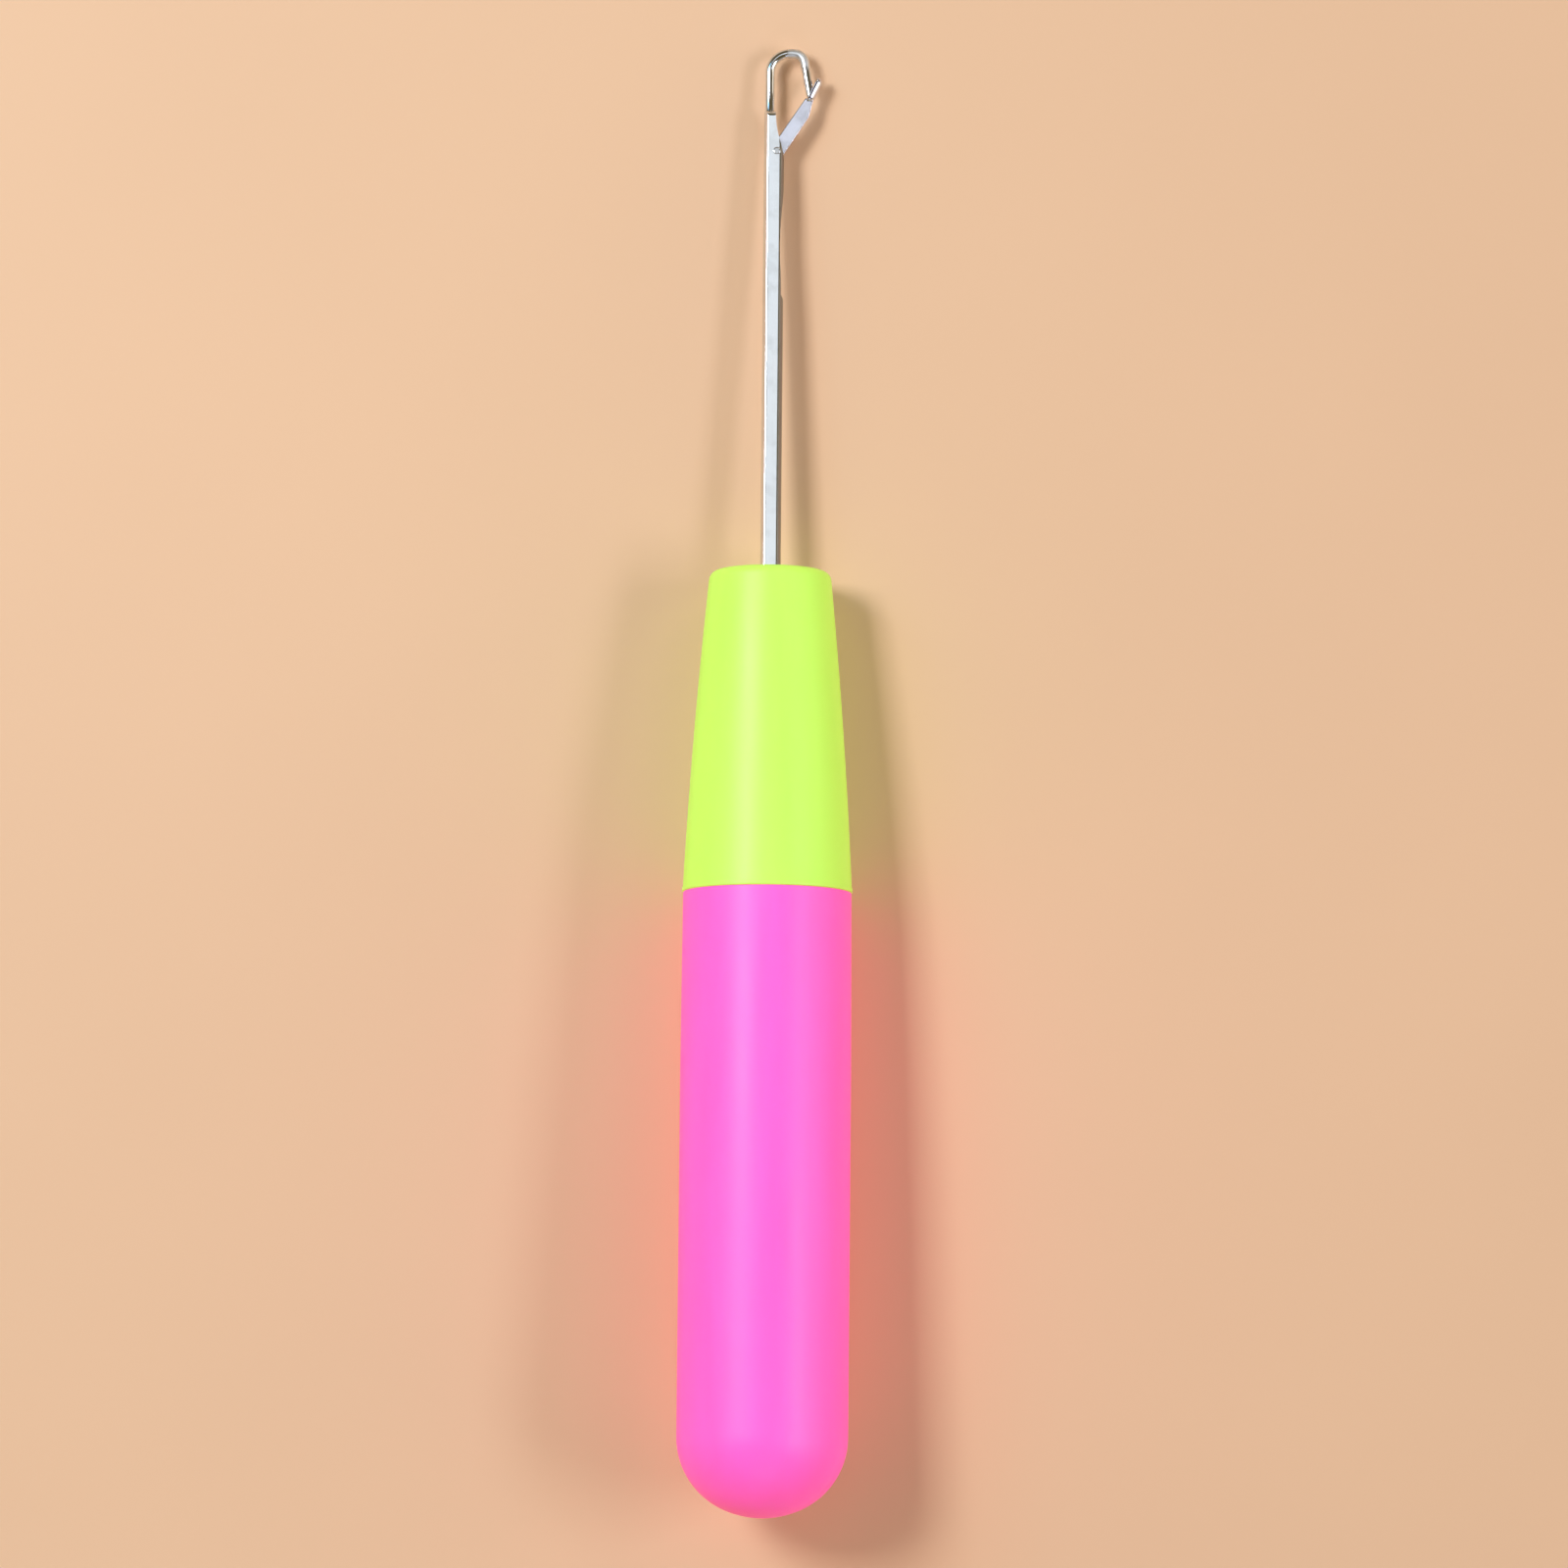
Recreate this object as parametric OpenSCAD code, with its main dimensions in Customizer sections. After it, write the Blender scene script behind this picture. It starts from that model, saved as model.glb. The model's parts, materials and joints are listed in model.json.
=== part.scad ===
// Latch hook tool: a steel latch needle in a two-piece moulded grip.
// It lies on its side along Y, with the hook at +Y, the hook's mouth to +X and the grip's lowest line at Z = 0.
// The drawing coordinates are X across, Y as the distance from the tail, and Z above the tool's own axis.

/* [Rear grip] */
// Length of the rear grip, from the tail to the joint
rear_grip_l = 69.4; // [60:0.1:90]
// Diameter of the rear grip over its straight stretch
grip_d = 19; // [18:0.1:24]
// Length of the straight stretch in front of the dome
straight_l = 40; // [30:0.5:46]
// Diameter of the rear grip at the joint
rear_joint_d = 18.76; // [17.5:0.02:20]
// Radius of the middle of the domed tail
dome_crown_r = 10.5; // [10:0.1:14]
// Radius that leads from the middle of the tail into the straight stretch
dome_corner_r = 8.8; // [6:0.1:9]
// Wall of the rear grip
rear_wall = 2.1; // [1.6:0.05:2.4]

/* [Front grip] */
// Length of the front grip that shows, from the joint to its front face
front_grip_l = 36.1; // [32:0.1:50]
// Diameter of the front grip just in front of its lip
front_joint_d = 18.8; // [17.5:0.02:20]
// Diameter at the front, behind the rounded edge
nose_d = 13.7; // [12.5:0.1:16]
// How far the side swells outside the straight line from joint to nose
side_bulge = 0.22; // [0:0.01:0.6]
// Radius of the rounded edge at the front
nose_round = 1.1; // [0.4:0.1:2]
// Diameter of the thin lip at the joint
lip_d = 18.95; // [18.5:0.05:20.5]
// Width of the lip along the grip
lip_l = 0.6; // [0.3:0.1:2]
// Wall of the front grip at its nose
front_wall = 2; // [1.4:0.1:2.4]
// Thickness of the front face
nose_wall = 3; // [2:0.1:6]
// Diameter of the boss that holds the needle
boss_d = 6.8; // [5.4:0.1:8]
// Plastic of the boss behind the needle's end
boss_cover = 2; // [1:0.1:3]
// Number of ribs between the boss and the wall
rib_count = 4; // [3:1:6]
// Thickness of a rib
rib_t = 1.2; // [0.8:0.1:2]
// Length of a rib, back from the front face's inside
rib_l = 14; // [8:0.5:20]

/* [Joint of the grips] */
// Bore of the rear grip's socket
socket_d = 15.4; // [14:0.1:15.6]
// Length of the front grip's spigot
spigot_l = 13.4; // [11:0.1:18]
// Wall of the spigot
spigot_wall = 1.55; // [1.2:0.05:1.8]
// Gap around the spigot
joint_clearance = 0.05; // [0.03:0.01:0.1]
// How much deeper the socket is than the spigot is long
socket_spare = 0.6; // [0.2:0.1:2]
// Radius of the snap bead's round section
bead_r = 0.5; // [0.4:0.05:0.6]
// How far the snap bead stands out of the spigot
bead_h = 0.2; // [0.1:0.05:0.3]
// Distance of the snap bead from the joint
bead_back = 9.4; // [5:0.1:10]

/* [Needle] */
// Length of the needle that stands out of the grip
needle_out = 59.5; // [50:0.5:90]
// Length of the needle inside the grip
tang_l = 23.5; // [18:0.5:30]
// Diameter of the stem
stem_d = 2.3; // [2.1:0.05:3]
// Thickness of the stem across its two flats
stem_t = 1.8; // [1.6:0.05:2]
// Width of the pressed ears that hold the tang
ear_w = 3.6; // [3:0.1:4.6]
// Length of the ears
ear_l = 5; // [3:0.5:7]
// Thickness of the ears
ear_t = 1.1; // [0.8:0.1:1.5]
// Distance of the ears from the tang's end
ear_gap = 4; // [2:0.5:7]
// Distance from the pivot back to where the milled relief starts
relief_back = 16.4; // [15:0.1:22]
// Length of the short slope at the relief's start
relief_ramp = 0.5; // [0.2:0.1:1.5]
// Depth of the relief where it starts
relief_depth = 0.25; // [0.1:0.01:0.4]
// Depth of the waist that the open latch lies over
waist_depth = 0.41; // [0.3:0.01:0.55]
// Distance from the pivot back to the waist
waist_back = 10.6; // [9:0.1:13]
// Distance from the pivot back to where the relief has run out
shoulder_back = 2; // [1.5:0.1:4]
// Length of the cheeks in front of the pivot
cheek_l = 4.7; // [4:0.1:6]
// Height of the cheeks' tips above the back of the stem
cheek_tip_h = 1.3; // [1.1:0.05:1.6]
// Radius of the cheeks' tips
cheek_round = 0.35; // [0.2:0.05:0.5]

/* [Hook] */
// Diameter of the hook's wire
wire_d = 1.05; // [0.9:0.01:1.2]
// How far the wire's back lies inside the stem's back
wire_inset = 0.08; // [0:0.01:0.2]
// Radius of the wide bend on the shank's side, to the wire's middle
back_bend_r = 2.2; // [2:0.05:3]
// Length of the straight between the bends
crown_l = 0.5; // [0.1:0.05:1.5]
// Radius of the tight bend on the point's side, to the wire's middle
front_bend_r = 1.2; // [1:0.05:2]
// Angle by which the point's leg leans outward
beak_flare = 9.5; // [4:0.5:12]
// Length of the point's leg, from the bend to the middle of its round end
beak_l = 3.775; // [3:0.05:4.4]
// Diameter of the point's round end
beak_d = 0.86; // [0.7:0.01:0.9]

/* [Latch] */
// Distance of the pivot from the hook's top
pivot_back = 11.8; // [11:0.1:14]
// Height of the pivot above the stem's axis, toward the hook's mouth
pivot_x = 0.3; // [0.1:0.05:0.4]
// Width of the slot between the cheeks
slot_w = 0.7; // [0.6:0.01:0.8]
// Thickness of the latch's blade
latch_t = 0.55; // [0.4:0.01:0.57]
// Radius of the latch's round heel
heel_r = 0.8; // [0.7:0.01:0.85]
// Gap between the heel and the slot's floor
heel_clearance = 0.15; // [0.05:0.01:0.2]
// Height of the blade on the hook's side, where it meets the spoon
blade_h = 0.7; // [0.5:0.01:0.75]
// Length of the blade's straight lower edge
blade_l = 5.3; // [4.5:0.1:5.6]
// Height of the point's seat in the spoon above the latch's middle line
beak_seat = 0.5; // [0.4:0.01:0.6]
// Angle at which the spoon bends up from the blade
spoon_tilt = 7; // [3:0.5:10]
// Length of the spoon beyond the point's seat, to the middle of its round end
spoon_reach = 1.55; // [1.3:0.05:1.8]
// Length of the spoon behind the point's seat, to the middle of its round start
spoon_back = 0.15; // [0.05:0.05:0.3]
// Wall of the spoon
spoon_wall = 0.19; // [0.14:0.01:0.24]
// Height of the spoon's rim above the spoon's own axis
spoon_rim = 0.06; // [0:0.01:0.08]
// Gap between the hook's point and the spoon's hollow
spoon_clearance = 0.06; // [0.04:0.01:0.08]
// Radius of the disc that cuts the slot
cutter_r = 8; // [6:0.5:12]
// Distance from the cheeks' tips back to where the slot has run out of the wire
slot_tip_gap = 0.4; // [0.2:0.05:0.8]

/* [Rivet] */
// Diameter of the rivet
rivet_d = 0.7; // [0.5:0.01:0.75]
// Gap around the rivet in the latch
rivet_clearance = 0.03; // [0.02:0.01:0.05]
// Diameter of the rivet's peened heads
rivet_head_d = 0.84; // [0.78:0.01:0.95]
// Height of the heads above the flats
rivet_head_h = 0.05; // [0.02:0.01:0.1]

/* [Hidden] */

$fn = 64;
// Steps in which a round stretch of an outline is drawn
arc_steps = 16;
// Extra length by which a cut passes through a face
cut = 1;

grip_r = grip_d / 2;
stem_r = stem_d / 2;
wire_r = wire_d / 2;
beak_r = beak_d / 2;
rivet_r = rivet_d / 2;

// Places along the tool, as distances from the tail
joint_y = rear_grip_l;
front_y = joint_y + front_grip_l;
overall_l = front_y + needle_out;
tang_y = front_y - tang_l;
pivot_y = overall_l - pivot_back;
cheek_tip_y = pivot_y + cheek_l;

// Tail: two tangent arcs
dome_l = dome_crown_r - sqrt(pow(dome_crown_r - dome_corner_r, 2) - pow(grip_r - dome_corner_r, 2));
dome_tangent = atan2(dome_l - dome_crown_r, grip_r - dome_corner_r);

// Joint of the grips
socket_r = socket_d / 2;
spigot_r = socket_r - joint_clearance;
socket_depth = spigot_l + socket_spare;
bead_y = joint_y - bead_back;
bead_ring_r = spigot_r + bead_h - bead_r;

// Inside of the front grip
cavity_back_r = spigot_r - spigot_wall;
cavity_front_r = nose_d / 2 - front_wall;
cavity_front_y = front_y - nose_wall;
boss_back_y = tang_y - boss_cover;

// Hook: middle line of its wire
shank_x = wire_inset + wire_r - stem_r;
crown_y = overall_l - wire_r;
back_bend = [shank_x + back_bend_r, crown_y - back_bend_r];
front_bend = [back_bend[0] + crown_l, crown_y - front_bend_r];
beak_start = front_bend + front_bend_r * [cos(beak_flare), sin(beak_flare)];
beak_end = beak_start + beak_l * [sin(beak_flare), -cos(beak_flare)];

// Latch: its own line runs from the pivot, u along it and w toward the hook
pivot = [pivot_x, pivot_y];
beak_from_pivot = beak_end - pivot;
seat_distance = norm(beak_from_pivot);
seat_u = sqrt(pow(seat_distance, 2) - pow(beak_seat, 2));
closed_angle = atan2(beak_from_pivot[0], beak_from_pivot[1]) + asin(beak_seat / seat_distance);
hollow_r = beak_r + spoon_clearance;
spoon_r = hollow_r + spoon_wall;

// Slot: floor, and the places of the cutting disc at its two ends
slot_floor_x = pivot_x - heel_r - heel_clearance;
cutter_x = slot_floor_x + cutter_r;
run_out = sqrt(pow(cutter_r, 2) - pow(cutter_x - shank_x - wire_r, 2));
slot_front_y = cheek_tip_y - slot_tip_gap - run_out;
slot_rear_y = pivot_y - blade_l;

// Points on an arc, from one angle to another
function arc(centre, r, from, to) = [
    for (i = [0:arc_steps])
        let (a = from + (to - from) * i / arc_steps)
        centre + r * [cos(a), sin(a)]
];

// A smooth change from one value to another as t runs from 0 to 1
function ease(from, to, t) = from + (to - from) * (1 - cos(180 * t)) / 2;

// Points of a smooth change between two points, as [place along the tool, height]
function eased(from, to) = [
    for (i = [0:arc_steps])
        let (t = i / arc_steps)
        [from[0] + (to[0] - from[0]) * t, ease(from[1], to[1], t)]
];

// Carries an outline on with another one that starts where it ends
function carried_on(points, more) = concat(points, [for (i = [1:len(more) - 1]) more[i]]);

// Outline of the domed tail, from the axis out to the straight stretch, moved in by an inset
function tail(inset) = carried_on(
    arc([0, dome_crown_r], dome_crown_r - inset, -90, dome_tangent),
    arc([grip_r - dome_corner_r, dome_l], dome_corner_r - inset, dome_tangent, 0)
);

// Lays the tool down on the surface, with the middle of its length at the origin
module lay() {
    translate([0, -overall_l / 2, grip_r]) children();
}

// Turns an outline of [radius, distance from the tail] round the tool's axis
module turned() {
    rotate([-90, 0, 0]) rotate_extrude(convexity = 6) children();
}

// Extrudes an outline of [across, distance from the tail], centred on the tool's axis
module plate(thickness) {
    linear_extrude(thickness, center = true, convexity = 6) children();
}

module rear_grip() {
    color("#FF70DA") lay() difference() {
        turned() difference() {
            polygon(concat(
                tail(0),
                [
                    [grip_r, dome_l + straight_l],
                    [rear_joint_d / 2, joint_y],
                    [0, joint_y]
                ]
            ));
            polygon(concat(
                tail(rear_wall),
                [
                    [grip_r - rear_wall, joint_y - socket_depth],
                    [socket_r, joint_y - socket_depth],
                    [socket_r, joint_y + cut],
                    [0, joint_y + cut]
                ]
            ));
        }
        turned() translate([bead_ring_r, bead_y]) circle(bead_r + joint_clearance);
    }
}

// Outline of the front grip's side, swelling a little between the lip and the nose
function front_side() = [
    for (i = [0:arc_steps])
        let (t = i / arc_steps)
        let (r = (front_joint_d + (nose_d - front_joint_d) * t) / 2)
        [
            r + 4 * side_bulge * t * (1 - t),
            joint_y + lip_l + (front_grip_l - lip_l - nose_round) * t
        ]
];

// The spigot starts with a chamfer as high as the snap bead, which leads it into the socket
module front_shell() {
    turned() difference() {
        polygon(concat(
            [
                [0, joint_y - spigot_l],
                [spigot_r - bead_h, joint_y - spigot_l],
                [spigot_r, joint_y - spigot_l + bead_r],
                [spigot_r, joint_y],
                [lip_d / 2, joint_y],
                [lip_d / 2, joint_y + lip_l]
            ],
            front_side(),
            arc([nose_d / 2 - nose_round, front_y - nose_round], nose_round, 0, 90),
            [[0, front_y]]
        ));
        polygon([
            [0, joint_y - spigot_l - cut],
            [cavity_back_r, joint_y - spigot_l - cut],
            [cavity_back_r, joint_y - spigot_l],
            [cavity_front_r, cavity_front_y],
            [0, cavity_front_y]
        ]);
    }
    turned() translate([bead_ring_r, bead_y]) circle(bead_r);
}

module front_ribs() {
    intersection() {
        for (i = [0:rib_count - 1])
            rotate([0, 360 / rib_count * i, 0])
                translate([0, cavity_front_y - rib_l, -rib_t / 2])
                    cube([grip_r, rib_l + cut, rib_t]);
        turned() polygon([
            [0, joint_y],
            [cavity_back_r + spigot_wall, joint_y],
            [cavity_front_r + front_wall / 2, cavity_front_y + cut / 2],
            [0, cavity_front_y + cut / 2]
        ]);
    }
}

module front_grip() {
    color("#CFFF6A") lay() difference() {
        union() {
            front_shell();
            front_ribs();
            turned() translate([0, boss_back_y])
                square([boss_d / 2, cavity_front_y + cut / 2 - boss_back_y]);
        }
        tang();
    }
}

// Round wire pressed flat on both faces, from the tang's end to a place in front of the grip
module flattened_wire(end_y) {
    intersection() {
        turned() translate([0, tang_y]) square([stem_r, end_y - tang_y]);
        plate(stem_t) translate([-stem_r, tang_y]) square([stem_d, end_y - tang_y]);
    }
}

// The part of the needle that the grip is moulded round, with its ears
module tang() {
    flattened_wire(front_y + cut);
    tang_ears();
}

module tang_ears() {
    plate(ear_t) translate([-ear_w / 2, tang_y + ear_gap]) square([ear_w, ear_l]);
}

// Side of the stem that faces the hook's mouth, as [distance from the tail, height above the axis]
function mouth_side() =
    let (start = [pivot_y - relief_back, stem_r - relief_depth])
    let (waist = [pivot_y - waist_back, stem_r - waist_depth])
    let (shoulder = [pivot_y - shoulder_back, stem_r])
    let (tip = [cheek_tip_y - cheek_round, cheek_tip_h - stem_r])
    concat(
        [[pivot_y - relief_back - relief_ramp, stem_r]],
        carried_on(carried_on(eased(start, waist), eased(waist, shoulder)), eased(shoulder, tip))
    );

// The stem seen along Z, with the relief on its mouth side and rounded cheek tips
module stem_outline() {
    tip_y = cheek_tip_y - cheek_round;
    polygon(concat(
        [[-stem_r, tang_y], [stem_r, tang_y]],
        carried_on(
            [for (p = mouth_side()) [p[1], p[0]]],
            arc([cheek_tip_h - stem_r - cheek_round, tip_y], cheek_round, 0, 90)
        ),
        arc([cheek_round - stem_r, tip_y], cheek_round, 90, 180)
    ));
}

module stem() {
    intersection() {
        flattened_wire(cheek_tip_y);
        plate(stem_d) stem_outline();
        union() {
            translate([-stem_d, tang_y - cut, -stem_r])
                cube([2 * stem_d, cheek_tip_y - stem_t / 2 - tang_y + cut, stem_d]);
            translate([0, cheek_tip_y - stem_t / 2, 0])
                rotate([0, 90, 0]) cylinder(h = 2 * stem_d, d = stem_t, center = true);
        }
    }
}

// A straight length of the hook's wire along Y, with what follows carried on from its end
module straight(l) {
    rotate([-90, 0, 0]) cylinder(h = l, r = wire_r);
    translate([0, l, 0]) children();
}

// A bend of the hook's wire from Y toward X, with what follows carried on from its end
module bend(r, angle) {
    translate([r, 0, 0]) {
        rotate([0, 180, 0]) rotate_extrude(angle = angle) translate([r, 0]) circle(wire_r);
        rotate([0, 0, -angle]) translate([-r, 0, 0]) children();
    }
}

// The point's leg along Y, tapering to its round end
module beak() {
    rotate([-90, 0, 0]) rotate_extrude()
        polygon(concat([[0, 0], [wire_r, 0]], arc([0, beak_l], beak_r, 0, 90)));
}

// The wire starts beside the pivot, inside the stem's back
module hook_wire() {
    translate([shank_x, pivot_y, 0])
        straight(back_bend[1] - pivot_y)
            bend(back_bend_r, 90)
                straight(crown_l)
                    bend(front_bend_r, 90 - beak_flare)
                        beak();
}

// The slot between the cheeks, as a disc leaves it when it is moved along the stem
module latch_slot() {
    plate(slot_w) intersection() {
        union() {
            translate([cutter_x, slot_front_y]) circle(cutter_r);
            translate([cutter_x, slot_rear_y]) circle(cutter_r);
            translate([slot_floor_x, slot_rear_y])
                square([cutter_r, slot_front_y - slot_rear_y]);
        }
        translate([-stem_d, tang_y]) square([2 * stem_d, cheek_tip_y - tang_y]);
    }
}

module needle() {
    color("#D9DEE2") lay() difference() {
        union() {
            stem();
            tang_ears();
            hook_wire();
        }
        latch_slot();
        translate([pivot[0], pivot[1], 0]) cylinder(h = stem_d, r = rivet_r, center = true);
    }
}

module latch_rivet() {
    color("#C9CED2") lay() translate([pivot[0], pivot[1], 0]) {
        cylinder(h = stem_t, r = rivet_r, center = true);
        for (side = [0, 180])
            rotate([0, side, 0]) translate([0, 0, stem_t / 2])
                cylinder(h = rivet_head_h, d = rivet_head_d);
    }
}

// Outline of the blade in its own line, with the round heel at the pivot
module blade_outline() {
    circle(heel_r);
    polygon([
        [0, -heel_r],
        [blade_l, -heel_r],
        [seat_u - spoon_back, beak_seat - spoon_r + spoon_wall / 2],
        [seat_u, beak_seat],
        [seat_u - spoon_back, beak_seat + spoon_rim],
        [seat_u - spoon_r, blade_h],
        [0, heel_r]
    ]);
}

// A round bar with round ends, along the spoon's own axis
module capsule(r) {
    translate([-spoon_back, 0, 0]) sphere(r);
    translate([-spoon_back, 0, 0]) rotate([0, 90, 0]) cylinder(h = spoon_back + spoon_reach, r = r);
    translate([spoon_reach, 0, 0]) sphere(r);
}

module at_seat() {
    translate([seat_u, beak_seat, 0]) rotate([0, 0, spoon_tilt]) children();
}

module latch_body() {
    difference() {
        union() {
            plate(latch_t) blade_outline();
            difference() {
                at_seat() capsule(spoon_r);
                at_seat() translate([-2 * spoon_r, spoon_rim, -spoon_r])
                    cube([spoon_reach + 4 * spoon_r, spoon_r, 2 * spoon_r]);
            }
        }
        at_seat() capsule(hollow_r);
        cylinder(h = stem_d, r = rivet_r + rivet_clearance, center = true);
    }
}

module latch() {
    color("#D3D8DC") lay() translate([pivot[0], pivot[1], 0])
        rotate([0, 0, 90 - closed_angle]) latch_body();
}

needle();
latch();
latch_rivet();
front_grip();
rear_grip();
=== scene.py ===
import json
import math
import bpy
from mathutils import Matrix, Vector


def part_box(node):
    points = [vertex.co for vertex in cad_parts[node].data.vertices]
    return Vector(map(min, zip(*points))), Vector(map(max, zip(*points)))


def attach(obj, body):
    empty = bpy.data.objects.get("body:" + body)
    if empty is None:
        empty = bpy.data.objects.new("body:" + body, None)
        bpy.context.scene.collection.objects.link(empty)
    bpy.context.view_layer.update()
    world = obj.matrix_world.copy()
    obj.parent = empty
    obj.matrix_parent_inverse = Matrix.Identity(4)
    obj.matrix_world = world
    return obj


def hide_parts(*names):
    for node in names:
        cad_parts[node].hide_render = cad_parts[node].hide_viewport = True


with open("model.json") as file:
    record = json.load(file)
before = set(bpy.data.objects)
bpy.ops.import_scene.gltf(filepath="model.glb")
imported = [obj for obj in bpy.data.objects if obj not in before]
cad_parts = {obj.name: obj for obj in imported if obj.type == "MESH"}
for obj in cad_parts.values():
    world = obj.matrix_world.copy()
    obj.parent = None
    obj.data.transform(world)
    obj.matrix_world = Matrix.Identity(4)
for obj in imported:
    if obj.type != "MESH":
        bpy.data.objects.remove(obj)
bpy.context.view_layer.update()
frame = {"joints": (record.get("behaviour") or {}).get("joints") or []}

from types import SimpleNamespace

import bmesh
import bpy
from mathutils import Matrix, Vector

bl_info = {
    "name": "Latch Hook Tool",
    "version": (1, 0, 0),
    "blender": (4, 5, 0),
    "location": "View3D > Sidebar > Latch Hook",
    "description": "Models a latch hook tool: a steel latch needle in a two-colour moulded grip",
    "category": "Add Mesh",
}

REAR_LOW, REAR_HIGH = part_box("rear_grip")
NEEDLE_LOW, NEEDLE_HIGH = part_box("needle")
LATCH_JOINT = next(joint for joint in frame["joints"] if joint["name"] == "latch_pivot")

# The pieces are drawn in millimetres, with Y as the distance from the tail and the axis through the
# origin, and set down in metres.
MM = 0.001
TAIL_Y = REAR_LOW.y
AXIS_Z = (REAR_LOW.z + REAR_HIGH.z) / 2
OVERALL = (NEEDLE_HIGH.y - TAIL_Y) / MM
PIVOT_X = LATCH_JOINT["pos_m"][0] / MM
PIVOT_Y = (LATCH_JOINT["pos_m"][1] - TAIL_Y) / MM
# How far a cutting shape reaches past the end of what it cuts
OVERRUN = 1.0


def length(name, millimetres, description):
    """A length that a user may change."""
    return bpy.props.FloatProperty(
        name=name,
        description=description,
        default=millimetres * MM,
        min=0.0,
        precision=5,
        unit="LENGTH",
    )


def angle(name, degrees, description):
    """An angle that a user may change."""
    return bpy.props.FloatProperty(
        name=name, description=description, default=math.radians(degrees), precision=3, subtype="ANGLE"
    )


def linear(code):
    """A colour in linear light from its sRGB hex value."""
    parts = [int(code[i : i + 2], 16) / 255 for i in (1, 3, 5)]
    return tuple(c / 12.92 if c <= 0.04045 else ((c + 0.055) / 1.055) ** 2.4 for c in parts)


def dimmed(tint, share):
    """A colour with a share of its light."""
    return [c * share for c in tint]


def colour(name, code, description):
    """A colour that a user may change."""
    return bpy.props.FloatVectorProperty(
        name=name, description=description, subtype="COLOR", size=3, min=0.0, max=1.0, default=linear(code)
    )


class GripSizes(bpy.types.PropertyGroup):
    """Sizes of the two moulded halves of the grip"""

    joint: length("Rear grip length", 69.4, "From the tail to the joint of the two halves")
    radius: length("Grip radius", (REAR_HIGH.x - REAR_LOW.x) / 2 / MM, "Over the straight stretch")
    straight: length("Straight stretch", 40, "Length of the stretch in front of the domed tail")
    rear_joint_radius: length("Rear radius at the joint", 9.38, "Radius of the rear half at the joint")
    dome_crown: length("Dome crown radius", 10.5, "Radius of the middle of the domed tail")
    dome_corner: length("Dome corner radius", 8.8, "Radius that leads into the straight stretch")
    rear_wall: length("Rear wall", 2.1, "Wall of the rear half")
    front: length("Front grip length", 36.1, "From the joint to the front face")
    front_joint_radius: length("Front radius at the joint", 9.4, "Just in front of the lip")
    nose_radius: length("Nose radius", 6.85, "At the front, behind the rounded edge")
    bulge: length("Side bulge", 0.22, "How far the side swells outside a straight line")
    nose_round: length("Nose rounding", 1.1, "Radius of the rounded edge at the front")
    lip_radius: length("Lip radius", 9.475, "Radius of the thin lip at the joint")
    lip: length("Lip width", 0.6, "Width of the lip along the grip")
    edge: length("Edge rounding", 0.12, "Radius of the moulded edges at the joint")
    socket_radius: length("Socket radius", 7.7, "Bore of the rear half's socket")
    spigot: length("Spigot length", 13.4, "How far the front half reaches into the rear half")
    spigot_wall: length("Spigot wall", 1.55, "Wall of the spigot")
    fit: length("Joint gap", 0.05, "Gap around the spigot")
    spare: length("Socket spare depth", 0.6, "How much deeper the socket is than the spigot is long")
    bore_end: length("Spigot bore end", 1.0, "Straight stretch of the bore at the spigot's end")
    lead: length("Lead-in", 0.2, "Chamfers at the socket's mouth and the spigot's end")
    bead: length("Snap bead radius", 0.5, "Radius of the snap bead's round section")
    bead_ring: length("Snap bead ring", 7.35, "From the tool's axis to the middle of the bead's section")
    bead_back: length("Snap bead place", 9.4, "Distance of the snap bead from the joint")
    front_wall: length("Front wall", 2.0, "Wall of the front half at its nose")
    nose_wall: length("Front face thickness", 3.0, "Thickness of the front face")
    boss_radius: length("Boss radius", 3.4, "Radius of the boss that holds the needle")
    boss_cover: length("Boss cover", 2.0, "Plastic of the boss behind the needle's end")
    boss_edge: length("Boss rounding", 0.3, "Rounding of the boss's end")
    rib: length("Rib thickness", 1.2, "Thickness of the ribs around the boss")
    rib_length: length("Rib length", 14.0, "Length of the ribs, back from the front face's inside")
    rib_root: length("Rib root", 0.9, "How far the ribs reach into the boss")
    rib_foot: length("Rib foot", 0.85, "How far the ribs reach into the wall")


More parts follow.
